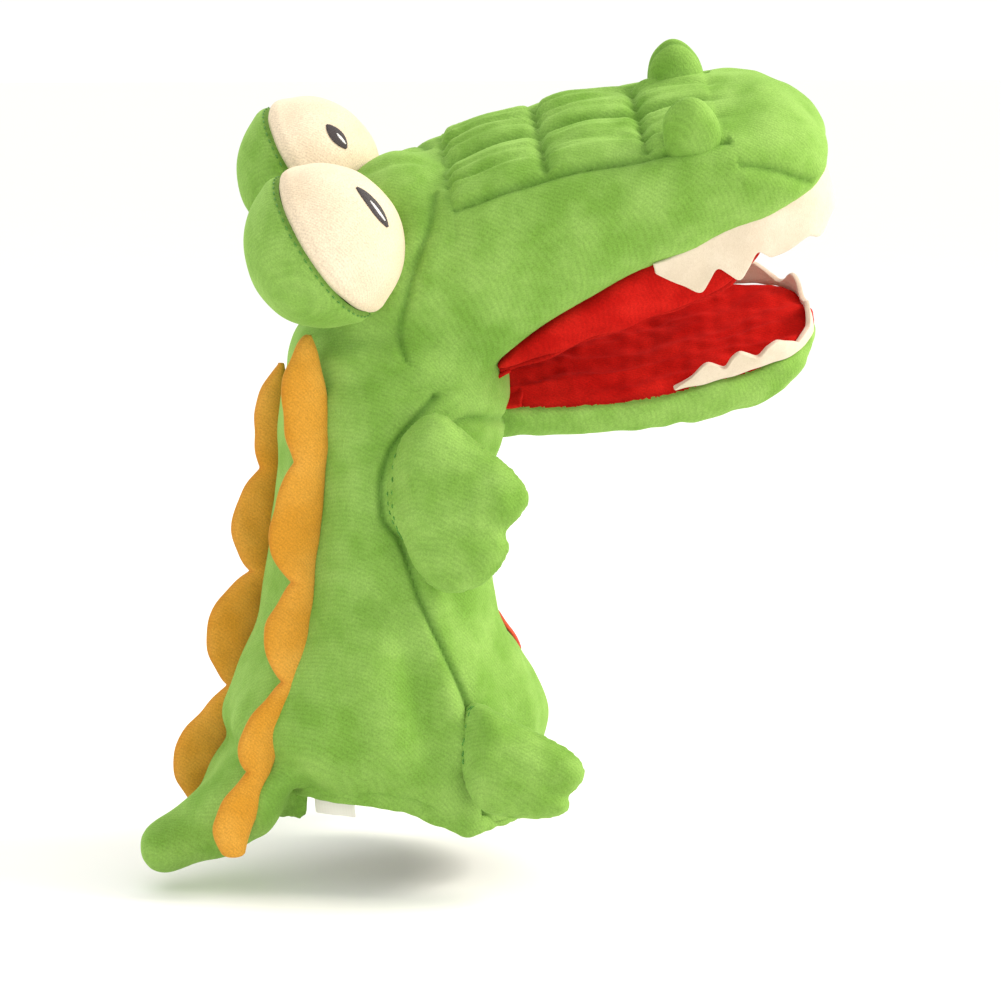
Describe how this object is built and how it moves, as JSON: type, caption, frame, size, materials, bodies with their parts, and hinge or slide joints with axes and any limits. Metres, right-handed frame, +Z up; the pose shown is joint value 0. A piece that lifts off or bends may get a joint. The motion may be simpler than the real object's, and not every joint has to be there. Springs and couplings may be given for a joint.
{
  "type": "moving mouth hand puppet",
  "caption": "Plush crocodile glove puppet whose felt-toothed mouth opens with the hand, with bulging eyes, flap arms and legs, padded back fins and a tail.",
  "frame": {"origin": "centre of the arm opening at the puppet's hem", "axes": "+Z up the puppet's body out of the forearm, +X the way the body faces, +Y the puppet's left"},
  "size_m": [0.2388, 0.1563, 0.2851],
  "materials": {
    "green_plush": "short pile velour",
    "green_hem": "folded velour",
    "orange_plush": "short pile velour",
    "red_patch": "felt",
    "red_velour": "short pile velour",
    "white_felt": "cut felt",
    "white_plush": "short pile velour",
    "embroidery": "satin stitch",
    "lining_cloth": "plain woven",
    "fibre_filling": "loose fibre",
    "mouth_board": "flexible sheet",
    "label_tape": "woven tape"
  },
  "bodies": {
    "torso": {"back_panel": "green_plush", "belly_panel": "green_plush", "belly_patch": "red_patch", "dorsal_ridge_left": "orange_plush", "dorsal_ridge_right": "orange_plush", "arm_opening_hem": "green_hem", "torso_lining": "lining_cloth", "lower_body_padding": "fibre_filling", "care_label": "label_tape", "tail_root": "green_plush"},
    "tail": {"tail": "green_plush", "tail_filling": "fibre_filling"},
    "arm_left": {"arm_left": "green_plush", "arm_filling_left": "fibre_filling"},
    "arm_right": {"arm_right": "green_plush", "arm_filling_right": "fibre_filling"},
    "leg_left": {"leg_left": "green_plush", "leg_filling_left": "fibre_filling"},
    "leg_right": {"leg_right": "green_plush", "leg_filling_right": "fibre_filling"},
    "neck": {"neck_skin": "green_plush", "wrist_lining": "lining_cloth"},
    "head": {"head_back_panel": "green_plush", "head_side_panel_left": "green_plush", "head_side_panel_right": "green_plush", "snout_top_panel": "green_plush", "snout_stuffing": "fibre_filling", "finger_pocket_lining": "lining_cloth", "upper_mouth_board": "mouth_board", "palate_lining": "red_velour", "upper_teeth_strip": "white_felt", "mouth_fold": "red_velour", "throat_gusset": "green_plush", "eyelid_left": "green_plush", "eyelid_right": "green_plush", "eye_white_left": "white_plush", "eye_white_right": "white_plush", "pupil_left": "embroidery", "pupil_right": "embroidery", "eye_filling_left": "fibre_filling", "eye_filling_right": "fibre_filling", "nostril_left": "green_plush", "nostril_right": "green_plush"},
    "jaw": {"jaw_underside_panel": "green_plush", "jaw_lining": "red_velour", "lower_teeth_strip": "white_felt", "lower_mouth_board": "mouth_board", "thumb_pocket_lining": "lining_cloth", "jaw_stuffing": "fibre_filling"}
  },
  "joints": [
    {"name": "neck_nod", "type": "hinge", "parent": "torso", "child": "neck", "pos_m": [0, 0, 0.143], "axis": [0, 1, 0], "range_deg": [-20, 20], "deforming": ["neck_skin", "wrist_lining", "dorsal_ridge_left", "dorsal_ridge_right"]},
    {"name": "neck_turn", "type": "hinge", "parent": "neck", "child": "head", "pos_m": [0, 0, 0.143], "axis": [0, 0, 1], "range_deg": [-20, 20], "deforming": ["neck_skin", "wrist_lining"]},
    {"name": "jaw_hinge", "type": "hinge", "parent": "head", "child": "jaw", "pos_m": [0.0358, 0, 0.1638], "axis": [0.2136, 0.8567, 0.4695], "range_deg": [-30, 25], "deforming": ["palate_lining", "mouth_fold", "throat_gusset"]},
    {"name": "arm_left_flap", "type": "hinge", "parent": "torso", "child": "arm_left", "pos_m": [-0.014, 0.0435, 0.119], "axis": [0, 0, 1], "range_deg": [-10, 40], "stiffness_Nm_per_rad": 0.02},
    {"name": "arm_right_flap", "type": "hinge", "parent": "torso", "child": "arm_right", "pos_m": [-0.014, -0.0435, 0.119], "axis": [0, 0, -1], "range_deg": [-10, 40], "stiffness_Nm_per_rad": 0.02},
    {"name": "leg_left_flap", "type": "hinge", "parent": "torso", "child": "leg_left", "pos_m": [0.007, 0.05, 0.025], "axis": [0, 0, 1], "range_deg": [-8, 35], "stiffness_Nm_per_rad": 0.02},
    {"name": "leg_right_flap", "type": "hinge", "parent": "torso", "child": "leg_right", "pos_m": [0.007, -0.05, 0.025], "axis": [0, 0, -1], "range_deg": [-8, 35], "stiffness_Nm_per_rad": 0.02},
    {"name": "tail_wag", "type": "hinge", "parent": "torso", "child": "tail", "pos_m": [-0.06435, 0, -0.00025], "axis": [0, 0, 1], "range_deg": [-16, 16], "stiffness_Nm_per_rad": 0.02, "deforming": ["tail_root"]}
  ]
}
